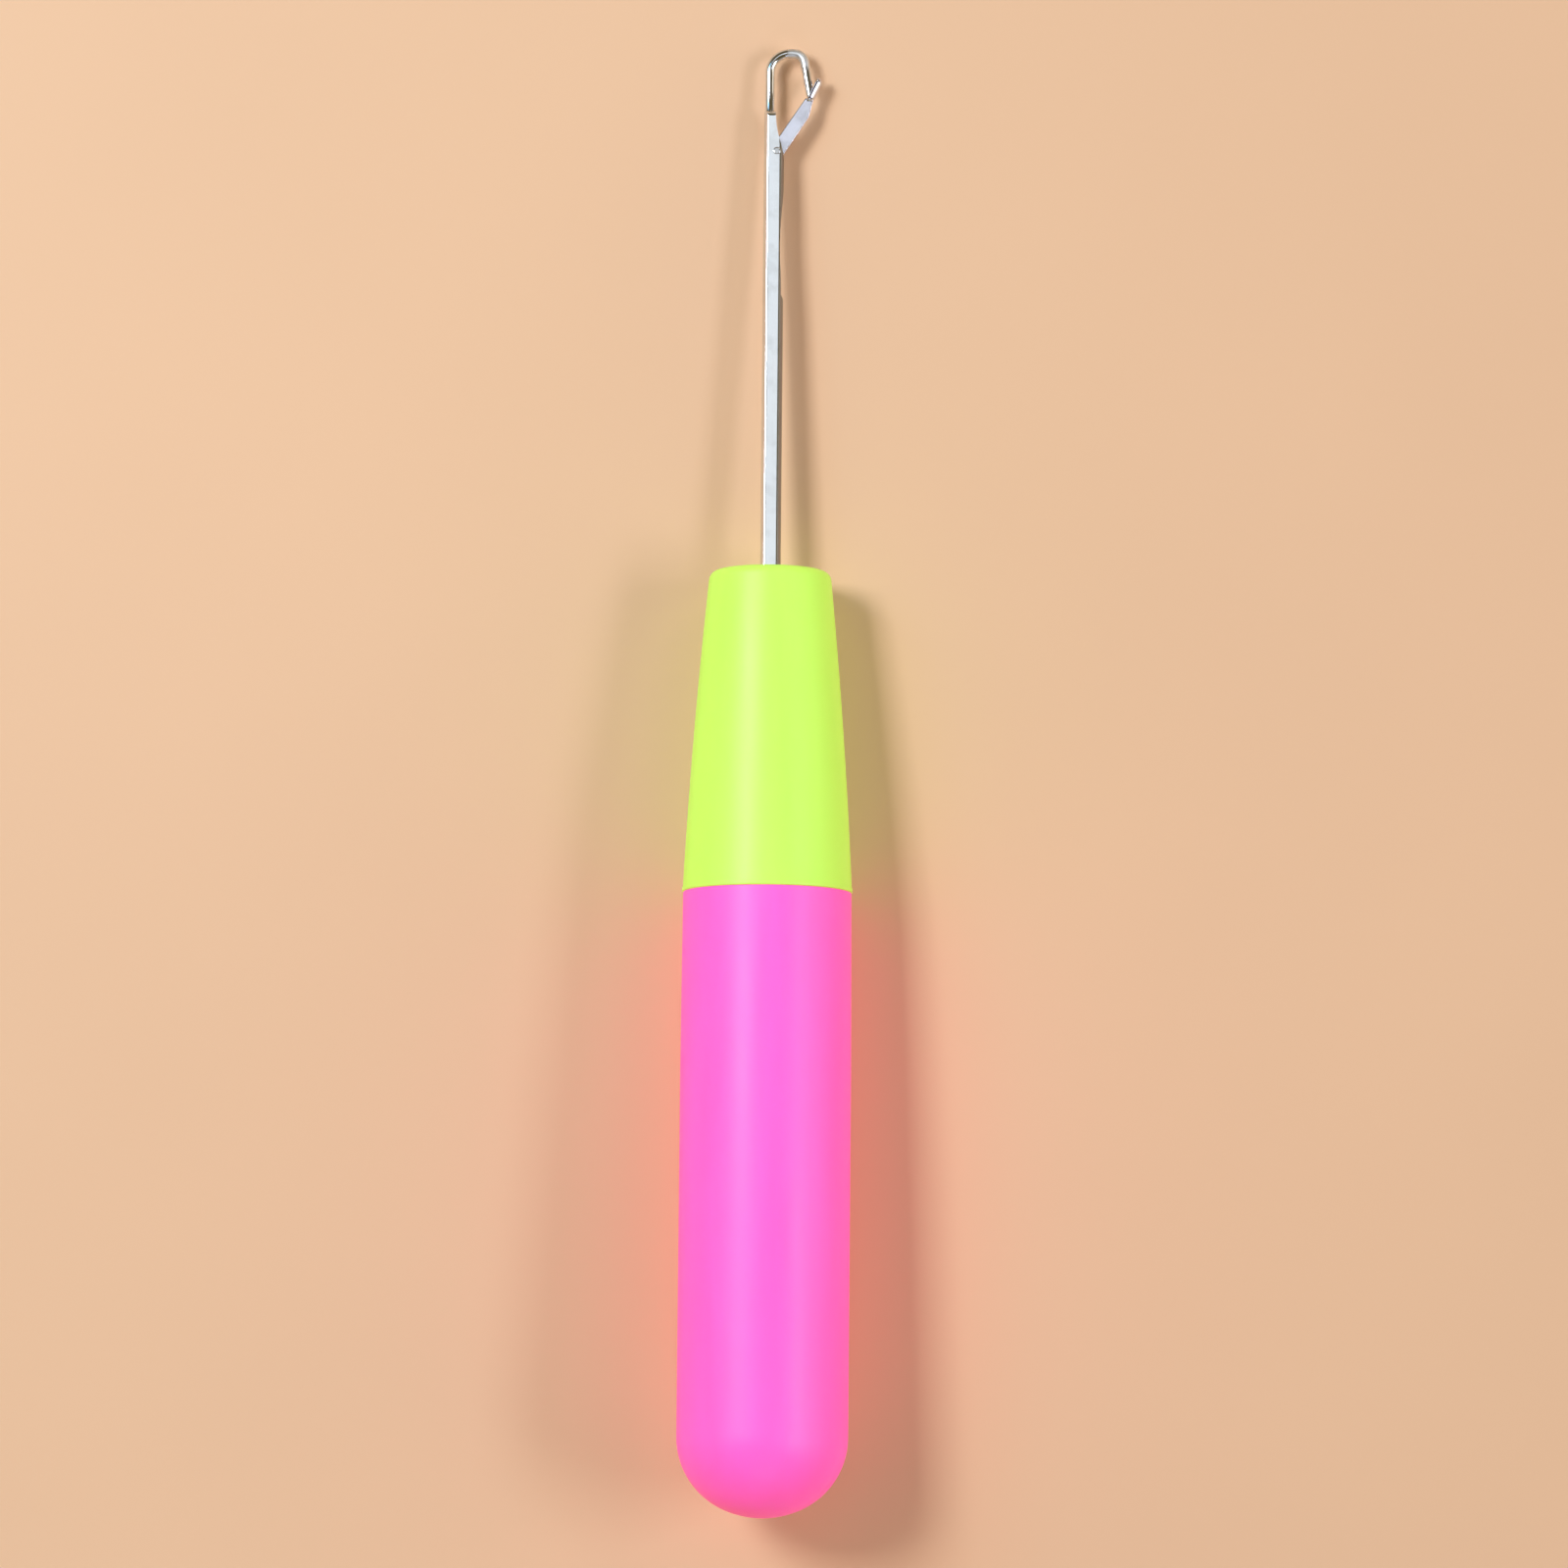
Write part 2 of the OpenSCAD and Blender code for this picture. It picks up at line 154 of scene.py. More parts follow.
class NeedleSizes(bpy.types.PropertyGroup):
    """Sizes of the steel needle and its hook"""

    stem_radius: length("Stem radius", 1.15, "Radius of the wire that the stem is pressed from")
    flat: length("Flat height", 0.9, "From the stem's axis to its flats")
    corner: length("Corner rounding", 0.16, "Rounding between the flats and the sides")
    tang: length("Tang length", 23.5, "Length of the needle inside the grip")
    ear_width: length("Ear width", 3.6, "Across the two ears pressed out of the tang")
    ear_length: length("Ear length", 5.0, "Length of the ears")
    ear_thickness: length("Ear thickness", 1.1, "Thickness of the ears")
    ear_back: length("Ear place", 4.0, "Distance of the ears from the tang's end")
    ear_edge: length("Ear rounding", 0.15, "Rounding of the ears' edges")
    relief: length("Relief depth", 0.25, "Depth of the milled relief where it starts")
    relief_back: length("Relief place", 16.4, "From the pivot back to where the relief starts")
    relief_ramp: length("Relief ramp", 0.5, "Length of the short slope at the relief's start")
    waist: length("Waist depth", 0.41, "Depth of the waist under the open latch")
    waist_back: length("Waist place", 10.6, "From the pivot back to the waist")
    shoulder_back: length("Shoulder place", 2.0, "From the pivot back to where the relief has run out")
    cheek: length("Cheek length", 4.7, "Length of the cheeks in front of the pivot")
    cheek_tip: length("Cheek tip height", 1.3, "Height of the cheeks' tips above the stem's back")
    cheek_round: length("Cheek tip rounding", 0.35, "Radius of the cheeks' tips")
    cheek_end: length("Cheek end radius", 0.93, "Radius of the half round that both cheeks end in")
    slot: length("Slot width", 0.7, "Width of the slot between the cheeks")
    slot_floor: length("Slot depth", 0.65, "From the stem's axis to the slot's floor")
    cutter: length("Slot cutter radius", 8.0, "Radius of the disc that cuts the slot")
    slot_back: length("Slot run", 5.3, "From the pivot back to the cutter's rear place")
    slot_tip_gap: length("Slot tip gap", 0.4, "From the cheeks' tips back to where the slot leaves the wire")
    wear: length("Edge wear", 0.045, "Rounding of the milled edges, as tumbling leaves them")
    wire_radius: length("Hook wire radius", 0.525, "Radius of the hook's wire")
    wire_inset: length("Wire inset", 0.08, "How far the wire's back lies inside the stem's back")
    back_bend: length("Back bend radius", 2.2, "Wide bend on the shank's side")
    crown: length("Crown length", 0.5, "Straight between the two bends")
    front_bend: length("Front bend radius", 1.2, "Tight bend on the point's side")
    beak: length("Point length", 3.775, "From the bend to the middle of the point's round end")
    beak_radius: length("Point radius", 0.43, "Radius of the point's round end")
    beak_flare: angle("Point flare", 9.5, "Angle by which the point's leg leans outward")


class LatchSizes(bpy.types.PropertyGroup):
    """Sizes of the hinged latch and its rivet"""

    blade: length("Blade thickness", 0.55, "Thickness of the latch's blade")
    heel: length("Heel radius", 0.8, "Radius of the round heel at the pivot")
    height: length("Blade height", 0.7, "Height of the blade where it meets the spoon")
    lower_edge: length("Lower edge length", 5.3, "Length of the blade's straight lower edge")
    seat: length("Seat height", 0.5, "Height of the point's seat above the latch's middle line")
    hollow: length("Spoon hollow radius", 0.49, "Radius of the hollow that takes the hook's point")
    wall: length("Spoon wall", 0.19, "Wall of the spoon")
    reach: length("Spoon reach", 1.55, "From the seat to the middle of the spoon's round end")
    back: length("Spoon back", 0.15, "From the seat back to the middle of the spoon's round start")
    rim: length("Spoon rim", 0.06, "Height of the rim above the spoon's own axis")
    grain: length("Edge softness", 0.035, "Size of the finest rounding on the tumbled latch")
    spoon_tilt: angle("Spoon tilt", 7.0, "Angle at which the spoon bends up from the blade")
    rivet: length("Rivet radius", 0.35, "Radius of the rivet")
    rivet_fit: length("Rivet gap", 0.03, "Gap around the rivet in the latch")
    head: length("Rivet head radius", 0.42, "Radius of the rivet's peened heads")
    head_rise: length("Rivet head height", 0.05, "Height of the heads above the flats")
    head_flat: length("Rivet head flat", 0.31, "Radius of the flat middle of the heads")


class Finishes(bpy.types.PropertyGroup):
    """Colours of the moulded and plated surfaces, and of the grips' painted glow"""

    rear: colour("Rear grip", "#FF6EE0", "Pink polypropylene")
    # The glow colours are emission, a painted glow that keeps each grip's shaded side bright and throws its
    # colour on the board
    rear_glow: colour("Rear fluorescence", "#9E0A20", "Light that the pink pigment gives back")
    front: colour("Front grip", "#CCFC6A", "Lime polypropylene")
    front_glow: colour("Front fluorescence", "#507600", "Light that the lime pigment gives back")
    nickel: colour("Nickel plate", "#E4E6E8", "Bright nickel on the needle")
    latch_nickel: colour("Latch plate", "#E0E0EC", "Bright nickel on the stamped latch")
    board: colour("Board", "#ECC19B", "Plain pale board that the tool lies on")


def drawn(group):
    """A group's sizes as the pieces are drawn: lengths in millimetres, angles in degrees."""
    sizes = SimpleNamespace()
    for name in group.__annotations__:
        value, kind = getattr(group, name), group.bl_rna.properties[name].unit
        setattr(sizes, name, value / MM if kind == "LENGTH" else math.degrees(value))
    return sizes


def of_kind(kind, geometry):
    """The verts, edges or faces among what an operator gives back."""
    return [part for part in geometry if isinstance(part, kind)]


class Pen:
    """Draws an outline with lines and arcs, each from where the last one ended."""

    def __init__(self, x, y):
        self.shape = bmesh.new()
        self.set_down(x, y)
        self.start = self.tip

    def set_down(self, x, y):
        """Goes on at another place, with nothing drawn up to there."""
        self.tip = self.shape.verts.new((x, y, 0))

    def line(self, x, y):
        """Draws a straight line to a point."""
        self.tip = bmesh.ops.extrude_vert_indiv(self.shape, verts=[self.tip])["verts"][0]
        self.tip.co = (x, y, 0)

    def arc(self, x, y, degrees, steps=12):
        """Draws an arc around a centre."""
        spun = bmesh.ops.spin(
            self.shape,
            geom=[self.tip],
            cent=(x, y, 0),
            axis=(0, 0, 1),
            angle=math.radians(degrees),
            steps=steps,
            use_duplicate=False,
        )
        self.tip = of_kind(bmesh.types.BMVert, spun["geom_last"])[0]

    def swerve(self, x, y, steps=9):
        """Draws two equal arcs to a point, which start and end along Y."""
        across, up = x - self.tip.co.x, y - self.tip.co.y
        radius = (across**2 + up**2) / (4 * abs(across))
        side = math.copysign(1, across)
        turn = -side * math.degrees(math.asin(up / 2 / radius))
        self.arc(self.tip.co.x + side * radius, self.tip.co.y, turn, steps)
        self.arc(x - side * radius, y, -turn, steps)

    def close(self):
        """Joins the outline's end to its start."""
        self.shape.edges.new((self.tip, self.start))


def shifted(shape, x, y, z=0):
    """Moves a shape."""
    bmesh.ops.translate(shape, verts=shape.verts, vec=(x, y, z))


def rolled(shape, radians, axis):
    """Turns a shape about an axis through the origin."""
    bmesh.ops.rotate(shape, verts=shape.verts, cent=(0, 0, 0), matrix=Matrix.Rotation(radians, 3, axis))


def tidy(shape, gap=1e-4):
    """Closes seams and poles, and points the faces outwards."""
    bmesh.ops.remove_doubles(shape, verts=shape.verts, dist=gap)
    bmesh.ops.dissolve_degenerate(shape, edges=shape.edges, dist=gap)
    bmesh.ops.recalc_face_normals(shape, faces=shape.faces)


def turned(pen, steps=160):
    """The shape of an outline that is turned round the tool's axis."""
    shape = pen.shape
    bmesh.ops.spin(
        shape,
        geom=shape.verts[:] + shape.edges[:],
        cent=(0, 0, 0),
        axis=(0, 1, 0),
        angle=math.tau,
        steps=steps,
        use_merge=True,
        use_duplicate=False,
    )
    tidy(shape)
    return shape


def thickened(pen, thickness):
    """The plate of an outline, which is closed for it, centred on the plane that it is drawn in."""
    pen.close()
    shape = pen.shape
    face = bmesh.ops.contextual_create(shape, geom=shape.edges[:])["faces"]
    raised = bmesh.ops.extrude_face_region(shape, geom=face)["geom"]
    bmesh.ops.translate(shape, verts=of_kind(bmesh.types.BMVert, raised), vec=(0, 0, thickness))
    shifted(shape, 0, 0, -thickness / 2)
    tidy(shape)
    return shape


def piece_from(shape, name):
    """Makes an object of a drawn shape."""
    mesh = bpy.data.meshes.new(name)
    shape.to_mesh(mesh)
    shape.free()
    piece = bpy.data.objects.new(name, mesh)
    bpy.context.scene.collection.objects.link(piece)
    return piece


def settle(piece):
    """Applies the piece's modifiers to its mesh."""
    bpy.context.view_layer.update()
    shown = piece.evaluated_get(bpy.context.evaluated_depsgraph_get())
    mesh, old = bpy.data.meshes.new_from_object(shown), piece.data
    piece.modifiers.clear()
    piece.data = mesh
    bpy.data.meshes.remove(old)
    mesh.name = piece.name


def worked(piece, operation, tool):
    """Joins a piece with a tool's shape, cuts it with that or keeps what both share, and drops the tool."""
    step = piece.modifiers.new(operation.title(), "BOOLEAN")
    step.object, step.operation, step.solver = tool, operation, "EXACT"
    settle(piece)
    bpy.data.objects.remove(tool)


def laid_down(piece, smooth_under=30):
    """Sets a drawn piece down in its place in metres, smooth except at its edges."""
    shape = bmesh.new()
    shape.from_mesh(piece.data)
    tidy(shape)
    bmesh.ops.scale(shape, verts=shape.verts, vec=(MM, MM, MM))
    shifted(shape, 0, TAIL_Y, AXIS_Z)
    limit = math.radians(smooth_under)
    for face in shape.faces:
        face.smooth = True
    for edge in shape.edges:
        edge.smooth = edge.is_manifold and edge.calc_face_angle(0) < limit
    shape.to_mesh(piece.data)
    shape.free()
    # Flat faces keep their own normals beside narrow rounded edges
    weighted = piece.modifiers.new("Flat faces", "WEIGHTED_NORMAL")
    weighted.keep_sharp = True
    settle(piece)


def add_node(tree, kind, settings=None, values=None, links=None):
    """Adds a node with its settings, the values of its sockets and what feeds them."""
    made = tree.nodes.new(kind)
    for name, value in (settings or {}).items():
        setattr(made, name, value)
    for name, value in (values or {}).items():
        made.inputs[name].default_value = value
    for name, source in (links or {}).items():
        tree.links.new(source, made.inputs[name])
    return made


def new_material(name):
    """A new material and its node tree, which is empty."""
    material = bpy.data.materials.new(name)
    material.use_nodes = True
    material.node_tree.nodes.clear()
    return material, material.node_tree


def two_tone(tree, pattern, low, dark, high, light):
    """Turns a pattern into a colour between two tones."""
    shade = add_node(tree, "ShaderNodeValToRGB", links={"Fac": pattern})
    for stop, place, tone in zip(shade.color_ramp.elements, (low, high), (dark, light)):
        stop.position, stop.color = place, (*tone, 1)
    return shade.outputs["Color"]


def moulded_polypropylene(name, tint, glow, deeper):
    """Injection moulded polypropylene with a pigment that is a little deeper in places, and a painted glow
    in the pigment's colour.
    """
    # Satin from the mould's blasted steel: a fine grain spreads the highlight and slow sinks bend it a
    # little. Light goes a short way into the milky plastic. An emission in the plastic's colour paints a
    # glow, so the shaded side stays bright and the board beside it takes the colour. The grain is drawn at
    # 0.25 mm, coarser than the real 0.05 mm.
    grain_size, flow_width, sink_width = 0.25 * MM, 4 * MM, 11 * MM
    material, tree = new_material(name)
    place = add_node(tree, "ShaderNodeTexCoord").outputs["Object"]
    grain = add_node(
        tree,
        "ShaderNodeTexNoise",
        values={"Scale": 1 / grain_size, "Detail": 2.0, "Roughness": 0.55},
        links={"Vector": place},
    )
    # The melt's flow along the mould leaves soft streaks a few millimetres wide
    along = add_node(tree, "ShaderNodeMapping", values={"Scale": (1.0, 0.18, 1.0)}, links={"Vector": place})
    flow = add_node(
        tree,
        "ShaderNodeTexNoise",
        values={"Scale": 1 / flow_width, "Detail": 3.0, "Roughness": 0.5, "Distortion": 0.4},
        links={"Vector": along.outputs["Vector"]},
    )
    sinks = add_node(
        tree,
        "ShaderNodeTexNoise",
        values={"Scale": 1 / sink_width, "Detail": 1.0, "Roughness": 0.4},
        links={"Vector": place},
    )
    gloss = add_node(
        tree,
        "ShaderNodeMapRange",
        values={"From Min": 0.3, "From Max": 0.7, "To Min": 0.4, "To Max": 0.48},
        links={"Value": flow.outputs["Fac"]},
    )
    slow = add_node(
        tree,
        "ShaderNodeBump",
        values={"Strength": 0.35, "Distance": 0.12 * MM},
        links={"Height": sinks.outputs["Fac"]},
    )
    fine = add_node(
        tree,
        "ShaderNodeBump",
        values={"Strength": 0.25, "Distance": 0.012 * MM},
        links={"Height": grain.outputs["Fac"], "Normal": slow.outputs["Normal"]},
    )
    skin = add_node(
        tree,
        "ShaderNodeBsdfPrincipled",
        values={
            "IOR": 1.49,
            "Subsurface Weight": 0.2,
            "Subsurface Radius": (1.0, 0.7, 0.6),
            "Subsurface Scale": 1.5 * MM,
            # Painted glow: the plastic gives off light of the glow colour under any lamps
            "Emission Color": (*glow, 1),
            "Emission Strength": 1.0,
        },
        links={
            "Base Color": two_tone(tree, flow.outputs["Fac"], 0.25, dimmed(tint, deeper), 0.7, tint),
            "Roughness": gloss.outputs["Result"],
            "Normal": fine.outputs["Normal"],
        },
    )
    add_node(tree, "ShaderNodeOutputMaterial", links={"Surface": skin.outputs["BSDF"]})
    return material


def nickel_plate(name, tint, dull, rough_low, rough_high, along, needle=None):
    """Bright nickel plate over drawn or stamped steel, with the needle's satin bends and a painted shade
    along its mouth side.
    """
    # The plate mirrors softly and follows the steel under it: faint lines that run with the drawing or
    # grinding, drawn 0.06 mm apart so that they show, and clouds a few millimetres long where it is duller.
    line_gap, cloud_width = 0.06 * MM, 2.4 * MM
    material, tree = new_material(name)
    place = add_node(tree, "ShaderNodeTexCoord").outputs["Object"]
    ratio = (1.0, along, 1.0)
    stretched = add_node(tree, "ShaderNodeMapping", values={"Scale": ratio}, links={"Vector": place})
    lines = add_node(
        tree,
        "ShaderNodeTexNoise",
        values={"Scale": 1 / line_gap, "Detail": 3.0, "Roughness": 0.6},
        links={"Vector": stretched.outputs["Vector"]},
    )
    clouds = add_node(
        tree,
        "ShaderNodeTexNoise",
        values={"Scale": 1 / cloud_width, "Detail": 3.0, "Roughness": 0.55, "Distortion": 0.3},
        links={"Vector": place},
    )
    gloss = add_node(
        tree,
        "ShaderNodeMapRange",
        values={"From Min": 0.35, "From Max": 0.65, "To Min": rough_high, "To Max": rough_low},
        links={"Value": clouds.outputs["Fac"]},
    )
    waves = add_node(
        tree,
        "ShaderNodeBump",
        values={"Strength": 0.3, "Distance": 0.02 * MM},
        links={"Height": clouds.outputs["Fac"]},
    )
    drawn_lines = add_node(
        tree,
        "ShaderNodeBump",
        values={"Strength": 0.2, "Distance": 0.003 * MM},
        links={"Height": lines.outputs["Fac"], "Normal": waves.outputs["Normal"]},
    )
    plate = two_tone(tree, clouds.outputs["Fac"], 0.34, dimmed(tint, dull), 0.52, tint)
    rough = gloss.outputs["Result"]
    if needle:
        spot = add_node(tree, "ShaderNodeSeparateXYZ", links={"Vector": place}).outputs
        # The tight bend stretches the wire's skin to a fine orange peel, which leaves the plate satin there,
        # so a broad soft highlight lies on the crown in place of thin lines.
        past_stem = add_node(
            tree,
            "ShaderNodeMapRange",
            values={"From Min": MM * needle.stem_side, "From Max": MM * needle.crown_start, "To Max": 0.32},
            links={"Value": spot["X"]},
        )
        on_bend = add_node(
            tree,
            "ShaderNodeMapRange",
            values={"From Min": TAIL_Y + MM * needle.bend_from, "From Max": TAIL_Y + MM * needle.bend_full},
            links={"Value": spot["Y"]},
        )
        satin = add_node(
            tree,
            "ShaderNodeMath",
            {"operation": "MULTIPLY_ADD"},
            links={0: past_stem.outputs["Result"], 1: on_bend.outputs["Result"], 2: rough},
        )
        rough = satin.outputs["Value"]
        # Painted shade: the plate colour is darkened on the stem's mouth side, from just inside the flat's
        # edge outwards, so a dark line runs along the stem.
        milled = add_node(
            tree,
            "ShaderNodeMapRange",
            values={
                "From Min": MM * (needle.flat_edge - 0.02),
                "From Max": MM * (needle.flat_edge + 0.06),
                "To Max": -0.62,
            },
            links={"Value": spot["X"]},
        )
        on_stem = add_node(
            tree,
            "ShaderNodeMath",
            {"operation": "LESS_THAN"},
            {1: TAIL_Y + MM * needle.milled_to},
            {0: spot["Y"]},
        )
        kept = add_node(
            tree,
            "ShaderNodeMath",
            {"operation": "MULTIPLY_ADD"},
            {2: 1.0},
            {0: milled.outputs["Result"], 1: on_stem.outputs["Value"]},
        )
        # The plate colour with the painted shade along the mouth side
        shaded = add_node(
            tree,
            "ShaderNodeVectorMath",
            {"operation": "SCALE"},
            links={"Vector": plate, "Scale": kept.outputs["Value"]},
        )
        plate = shaded.outputs["Vector"]
    metal = add_node(
        tree,
        "ShaderNodeBsdfPrincipled",
        values={"Metallic": 1.0},
        links={"Base Color": plate, "Roughness": rough, "Normal": drawn_lines.outputs["Normal"]},
    )
    add_node(tree, "ShaderNodeOutputMaterial", links={"Surface": metal.outputs["BSDF"]})
    return material


def painted_board(tint):
    """Smooth painted board."""
    # Rolled paint, flat and even, with the faintest patches about 56 mm across
    patch_width = 1 / 18
    material, tree = new_material("Pale painted board")
    place = add_node(tree, "ShaderNodeTexCoord").outputs["Object"]
    patches = add_node(
        tree, "ShaderNodeTexNoise", values={"Scale": 1 / patch_width, "Detail": 2.0}, links={"Vector": place}
    )
    skin = add_node(
        tree,
        "ShaderNodeBsdfPrincipled",
        values={"Roughness": 0.62, "Specular IOR Level": 0.25},
        links={"Base Color": two_tone(tree, patches.outputs["Fac"], 0.3, dimmed(tint, 0.975), 0.7, tint)},
    )
    add_node(tree, "ShaderNodeOutputMaterial", links={"Surface": skin.outputs["BSDF"]})
    return material


def finished(piece, material, body, node):
    """Gives a piece its material, ties it to its body and hides the CAD node that it stands in for."""
    piece.data.materials.clear()
    piece.data.materials.append(material)
    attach(piece, body)
    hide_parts(node)


class REARGRIP_OT_add(bpy.types.Operator):
    """Adds the pink rear half of the grip, with its domed tail and its socket"""

    bl_idname = "latch_hook.rear_grip"
    bl_label = "Rear Grip"

    def execute(self, context):
        g = drawn(context.scene.latch_hook_grip)
        corner_x = g.radius - g.dome_corner
        dome = g.dome_crown - math.sqrt((g.dome_crown - g.dome_corner) ** 2 - corner_x**2)
        tangent = math.degrees(math.atan2(dome - g.dome_crown, corner_x))
        # Outside, from the middle of the tail to the joint
        pen = Pen(0, 0)
        pen.arc(0, g.dome_crown, tangent + 90, 10)
        pen.arc(corner_x, dome, -tangent, 26)
        for part in (1 / 3, 2 / 3, 1):
            pen.line(g.radius, dome + g.straight * part)
        taper = g.joint - dome - g.straight
        slope = (g.rear_joint_radius - g.radius) / taper
        pen.line(g.radius + slope * taper / 2, g.joint - taper / 2)
        pen.line(g.rear_joint_radius - slope * g.edge, g.joint - g.edge)
        pen.arc(pen.tip.co.x - g.edge, pen.tip.co.y, 90, 5)
        # Socket with the groove for the snap bead, and the hollow down to the dome
        socket_end = g.joint - g.spigot - g.spare
        bead_y, groove = g.joint - g.bead_back, g.bead + g.fit
        half = math.degrees(math.acos((g.socket_radius - g.bead_ring) / groove))
        rise = groove * math.sin(math.radians(half))
        pen.line(g.socket_radius + g.lead, g.joint)
        pen.line(g.socket_radius, g.joint - g.lead)
        pen.line(g.socket_radius, bead_y + rise)
        pen.arc(g.bead_ring, bead_y, -2 * half, 10)
        pen.line(g.socket_radius, socket_end)
        for inside_y in (socket_end, dome + g.straight / 2, dome):
            pen.line(g.radius - g.rear_wall, inside_y)
        pen.arc(corner_x, dome, tangent, 20)
        pen.arc(0, g.dome_crown, -90 - tangent, 8)
        piece = piece_from(turned(pen), "grip_rear")
        laid_down(piece)
        f = context.scene.latch_hook_finish
        plastic = moulded_polypropylene("Pink moulded polypropylene", f.rear, f.rear_glow, deeper=0.92)
        finished(piece, plastic, "tool", "rear_grip")
        return {"FINISHED"}


def block(size, x, y):
    """A plain block around a point of the tool's middle plane."""
    shape = bmesh.new()
    bmesh.ops.create_cube(shape, size=1.0)
    bmesh.ops.scale(shape, verts=shape.verts, vec=size)
    shifted(shape, x, y)
    return shape


def tang_shape(n, front_y, reach):
    """A closed bar of the round wire that is pressed flat on both faces, from the tang's end forwards."""
    shape = bmesh.new()
    bmesh.ops.create_circle(shape, cap_ends=True, segments=96, radius=n.stem_radius)
    for side in (-1, 1):
        bmesh.ops.bisect_plane(
            shape,
            geom=shape.verts[:] + shape.edges[:] + shape.faces[:],
            plane_co=(0, side * n.flat, 0),
            plane_no=(0, side, 0),
            clear_outer=True,
        )
    corners = [v for v in shape.verts if abs(abs(v.co.y) - n.flat) < 1e-4]
    bmesh.ops.bevel(
        shape,
        geom=corners,
        offset=n.corner,
        offset_type="OFFSET",
        affect="VERTICES",
        segments=5,
        profile=0.5,
        material=-1,
    )
    rolled(shape, math.radians(90), "X")
    shifted(shape, 0, front_y - n.tang)
    raised = bmesh.ops.extrude_face_region(shape, geom=shape.faces[:])["geom"]
    bmesh.ops.translate(shape, verts=of_kind(bmesh.types.BMVert, raised), vec=(0, reach, 0))
    tidy(shape)
    return shape


def ears_shape(n, front_y):
    """The ears that are pressed out of the tang to hold it in the grip."""
    middle_y = front_y - n.tang + n.ear_back + n.ear_length / 2
    shape = block((n.ear_width, n.ear_length, n.ear_thickness), 0, middle_y)
    bmesh.ops.bevel(
        shape, geom=shape.edges[:], offset=n.ear_edge, affect="EDGES", segments=3, profile=0.5, material=-1
    )
    tidy(shape)
    return shape


class FRONTGRIP_OT_add(bpy.types.Operator):
    """Adds the lime front half of the grip, with its lip, spigot, boss and ribs"""

    bl_idname = "latch_hook.front_grip"
    bl_label = "Front Grip"

    def execute(self, context):
        g = drawn(context.scene.latch_hook_grip)
        n = drawn(context.scene.latch_hook_needle)
        front_y = g.joint + g.front
        spigot_r = g.socket_radius - g.fit
        spigot_end = g.joint - g.spigot
        bead_y = g.joint - g.bead_back
        half = math.degrees(math.acos((spigot_r - g.bead_ring) / g.bead))
        rise = g.bead * math.sin(math.radians(half))
        # Spigot with its snap bead, then the lip
        pen = Pen(spigot_r - g.spigot_wall, spigot_end)
        pen.line(spigot_r - g.lead, spigot_end)
        pen.line(spigot_r, spigot_end + g.bead)
        pen.line(spigot_r, bead_y - rise)
        pen.arc(g.bead_ring, bead_y, 2 * half, 10)
        pen.line(spigot_r, g.joint)
        pen.line(g.lip_radius - g.edge, g.joint)
        pen.arc(g.lip_radius - g.edge, g.joint + g.edge, 90, 5)
        pen.line(g.lip_radius, g.joint + g.lip - g.edge)
        pen.line(g.front_joint_radius, g.joint + g.lip + g.edge / 2)
        # Side: one very wide arc that swells between lip and nose
        side_start, side_end = Vector(pen.tip.co.xy), Vector((g.nose_radius, front_y - g.nose_round))
        chord = side_end - side_start
        wide = chord.length**2 / (8 * g.bulge) + g.bulge / 2
        across = Vector((-chord.y, chord.x)).normalized()
        centre = (side_start + side_end) / 2 + across * (wide - g.bulge)
        pen.arc(*centre, 2 * math.degrees(math.asin(chord.length / 2 / wide)), 14)
        pen.arc(pen.tip.co.x - g.nose_round, pen.tip.co.y, 90, 12)
        # Front face down to the axis, then back inside along the boss and the hollow
        pen.line(g.boss_radius, front_y)
        pen.line(0, front_y)
        boss_end = front_y - n.tang - g.boss_cover
        pen.set_down(0, boss_end)
        pen.line(g.boss_radius - g.boss_edge, boss_end)
        pen.arc(pen.tip.co.x, pen.tip.co.y + g.boss_edge, 90, 5)
        pen.line(g.boss_radius, front_y - g.nose_wall)
        pen.line(g.nose_radius - g.front_wall, front_y - g.nose_wall)
        pen.line(pen.start.co.x, pen.start.co.y + g.bore_end)
        pen.close()
        piece = piece_from(turned(pen), "grip_front")
        # Ribs from inside the boss to inside the wall, and into the front face
        rib_in, rib_out = g.boss_radius - g.rib_root, g.nose_radius - g.front_wall + g.rib_foot
        rib_size = (rib_out - rib_in, g.rib_length + g.lead, g.rib)
        rib_y = front_y - g.nose_wall - g.rib_length + rib_size[1] / 2
        for quarter in range(4):
            rib = block(rib_size, (rib_in + rib_out) / 2, rib_y)
            rolled(rib, math.tau / 4 * quarter, "Y")
            worked(piece, "UNION", piece_from(rib, "rib"))
        worked(piece, "DIFFERENCE", piece_from(tang_shape(n, front_y, n.tang + OVERRUN), "bore"))
        worked(piece, "DIFFERENCE", piece_from(ears_shape(n, front_y), "ear_pocket"))
        laid_down(piece)
        f = context.scene.latch_hook_finish
        plastic = moulded_polypropylene("Lime moulded polypropylene", f.front, f.front_glow, deeper=0.94)
        finished(piece, plastic, "tool", "front_grip")
        return {"FINISHED"}


def hook_middle(n):
    """Places on the hook's wire: the shank, the centres of both bends and the start and way of the leg."""
    shank_x = n.wire_inset + n.wire_radius - n.stem_radius
    crown_y = OVERALL - n.wire_radius
    back = Vector((shank_x + n.back_bend, crown_y - n.back_bend))
    front = Vector((back.x + n.crown, crown_y - n.front_bend))
    flare = math.radians(n.beak_flare)
    leg = front + n.front_bend * Vector((math.cos(flare), math.sin(flare)))
    way = Vector((math.sin(flare), -math.cos(flare)))
    return SimpleNamespace(shank_x=shank_x, back=back, front=front, leg=leg, way=way)


